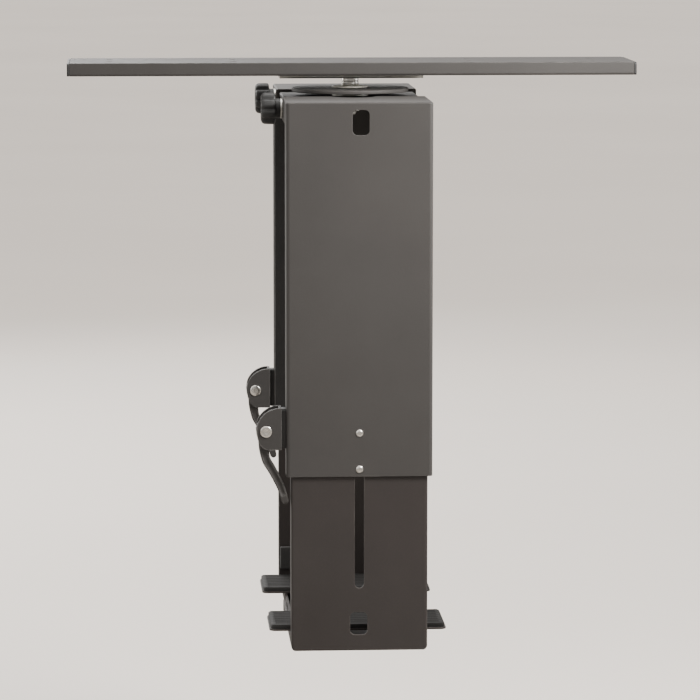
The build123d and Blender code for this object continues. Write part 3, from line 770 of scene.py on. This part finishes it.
def width_knob(side_name, side):
    """Lobed knob and its threaded stud, along X."""
    origin, body = (0, side * KNOB_Y, KNOB_Z), f"{side_name}_width_knob"
    knob = [(-65.9, 2.55), (-56.7, 2.55), (-56.4, 2.9), (-56.4, 6.9), (-56.7, 7.4),
            (-57.2, 7.5), (-59.4, 7.5), (-60.0, 8.0), (-60.1, 9.4)]
    knob += lobed([
        (-60.3, 11.2, 1.5), (-60.9, 12.0, 1.8), (-62.0, 12.2, 2.0), (-65.0, 12.2, 2.0),
        (-68.0, 12.1, 1.95), (-69.4, 11.7, 1.8), (-70.4, 10.8, 1.4), (-70.9, 9.6, 0.9),
        (-71.0, 8.6, 0.5)], count=8)
    knob += [(-71.0, 7.4), (-70.5, 6.9), (-70.3, 6.2), (-70.3, 3.5), (-70.45, 1.2)]
    stud = [(-65.8, 2.3), (-57.0, 2.3), (-56.8, 2.45)]
    stud += thread(radius=2.5, pitch=0.8, start=-56.6, end=-44.0)
    put(f"{side_name}_knob_lobed", turn(knob, origin, "x", 128), "knob_plastic", body,
        f"{side_name}_knob")
    put(f"{side_name}_stud_threaded", turn(stud, origin, "x", 32), "zinc", body,
        f"{side_name}_knob_stud")


# ---------------------------------------------------------------- bottom clamp
def bottom_clamp():
    """Domed bolt and lobed knob on the Z axis."""
    bolt = [
        (-430.3, 1.5), (-430.3, 3.4), (-430.6, 5.0), (-431.3, 6.2), (-432.3, 6.9),
        (-433.3, 7.0), (-433.5, 6.8), (-433.5, 2.9), (-438.0, 2.9), (-438.6, 2.9),
    ] + thread(radius=3.0, pitch=1.0, start=-438.8, end=-450.0)
    knob = [(-438.5, 3.1), (-438.2, 3.4), (-438.2, 6.5), (-438.5, 7.0), (-440.6, 7.0),
            (-441.0, 7.6), (-441.1, 9.0)]
    knob += lobed([
        (-441.3, 10.9, 1.5), (-441.9, 11.8, 1.9), (-443.0, 12.0, 2.1), (-446.5, 12.0, 2.1),
        (-447.8, 11.6, 1.9), (-448.7, 10.6, 1.4), (-449.0, 9.2, 0.7)], count=6)
    knob += [(-449.0, 6.4), (-448.6, 6.0), (-448.4, 5.4), (-448.4, 3.4), (-448.1, 3.1)]
    put("clamp_bolt_turned", turn(bolt, (0, 0, 0), "z", 44), "zinc", "near_lower",
        "bottom_clamp_bolt")
    put("clamp_knob_lobed", turn(knob, (0, 0, 0), "z", 120, closed=True), "knob_plastic",
        "bottom_knob", "bottom_clamp_knob")


pivot_hardware()
for side_name, side in SIDES:
    for build in (guide_rivets, side_foam, shelf_mat, lever_hardware, cam_lever, width_knob):
        build(side_name, side)
bottom_clamp()


# ---------------------------------------------------------------- floor
def floor_material():
    """Pale to the camera, darker to bounced light so that faces looking down keep their shade."""
    shader = Shader("studio_floor")
    cloud = shader.remap(shader.noise(scale=1.2, detail=4.0, rough=0.5))
    pale = shader.mix(cloud, (0.86, 0.795, 0.73), (0.90, 0.835, 0.77))
    seen = shader.node("ShaderNodeLightPath").outputs["Is Camera Ray"]
    colour = shader.mix(seen, (0.30, 0.28, 0.26), pale)
    grain = shader.noise(scale=300, detail=2.0, rough=0.5)
    return shader.finish(colour, 0.75, shader.bump(grain, distance=0.0002, strength=0.15))


FLOOR_Z, FLOOR_HALF = -0.60, 30
floor_mesh = bpy.data.meshes.new("floor")
floor_mesh.from_pydata(
    [(x * FLOOR_HALF, y * FLOOR_HALF, FLOOR_Z) for x, y in ((-1, -1), (1, -1), (1, 1), (-1, 1))],
    [], [(0, 1, 2, 3)])
add_object("floor", floor_mesh, floor_material())


# ---------------------------------------------------------------- world
def studio_world():
    """Bright overhead and dimmer from the sides, but an even backdrop to the camera."""
    world = bpy.data.worlds.new("studio")
    bpy.context.scene.world = world
    world.use_nodes = True
    tree = world.node_tree
    place = add_node(tree, "ShaderNodeTexCoord", {}).outputs["Generated"]
    height = add_node(tree, "ShaderNodeSeparateXYZ", {0: place}).outputs["Z"]
    sky = add_node(tree, "ShaderNodeMapRange",
                   map_range(height, span=(0.0, 0.85), to=(0.38, 1.45)),
                   interpolation_type="SMOOTHSTEP").outputs["Result"]
    seen = add_node(tree, "ShaderNodeLightPath", {}).outputs["Is Camera Ray"]
    # Each mix takes the light's value first and the camera's second
    strength = add_node(tree, "ShaderNodeMix", {0: seen, 2: sky, 3: 0.935}).outputs[0]
    colour = add_node(tree, "ShaderNodeMix",
                      {0: seen, 6: (0.96, 0.925, 0.885), 7: (1.0, 0.93, 0.848)},
                      data_type="RGBA").outputs[2]
    feed(tree, tree.nodes["Background"], {"Strength": strength, "Color": colour})


studio_world()


# ---------------------------------------------------------------- lights
def area(name, at, size, power, aim=(0.0, 0.0, -0.22), colour=(1, 1, 1)):
    light = bpy.data.lights.new(name, "AREA")
    light.shape = "RECTANGLE"
    light.size, light.size_y = size
    light.energy = power
    light.color = colour
    obj = bpy.data.objects.new(name, light)
    bpy.context.scene.collection.objects.link(obj)
    obj.location = at
    obj.visible_camera = False
    obj.rotation_euler = (Vector(aim) - Vector(at)).to_track_quat("-Z", "Y").to_euler()
    return obj


key = area("key", at=(0.42, -0.44, 0.20), size=(0.22, 0.22), power=7.7,
           aim=(0.0, -0.12, -0.15), colour=(1.0, 0.985, 0.96))
area("fill", at=(-2.4, -1.4, 0.6), size=(1.8, 1.4), power=8, colour=(0.98, 0.985, 1.0))
area("top", at=(0.1, 0.5, 2.4), size=(2.0, 2.0), power=30)
area("back", at=(-0.8, 2.6, 0.9), size=(1.6, 1.2), power=34)
area("user_side", at=(-2.0, 1.5, 0.4), size=(1.2, 1.2), power=24, colour=(1.0, 0.99, 0.97))
area("rim", at=(0.95, 0.10, -0.05), size=(0.5, 0.7), power=3.0)

# Nothing stands between the sides to shade them, so the key light leaves these pieces out
KEY_UNLIT = {
    "far_upper_bracket", "far_lower_bracket", "far_shelf", "far_shelf_mat", "near_shelf_mat",
    "far_foam_front", "far_foam_rear", "far_toe_foam_front", "far_toe_foam_rear",
}
key_lit = bpy.data.collections.new("key_lit")
for obj in bpy.data.objects:
    if obj.type == "MESH" and obj.name not in KEY_UNLIT:
        key_lit.objects.link(obj)
key.light_linking.receiver_collection = key_lit

# ---------------------------------------------------------------- camera
lens = bpy.data.cameras.new("camera")
lens.lens = 198.4
lens.sensor_width = 36.0
lens.clip_start, lens.clip_end = 0.05, 100.0
camera = bpy.data.objects.new("camera", lens)
bpy.context.scene.collection.objects.link(camera)
camera.location = (-0.175, -2.968, 0.153)
look = Vector((0.0, 0.0, -0.225)) - camera.location
camera.rotation_euler = look.to_track_quat("-Z", "Y").to_euler()
bpy.context.scene.camera = camera
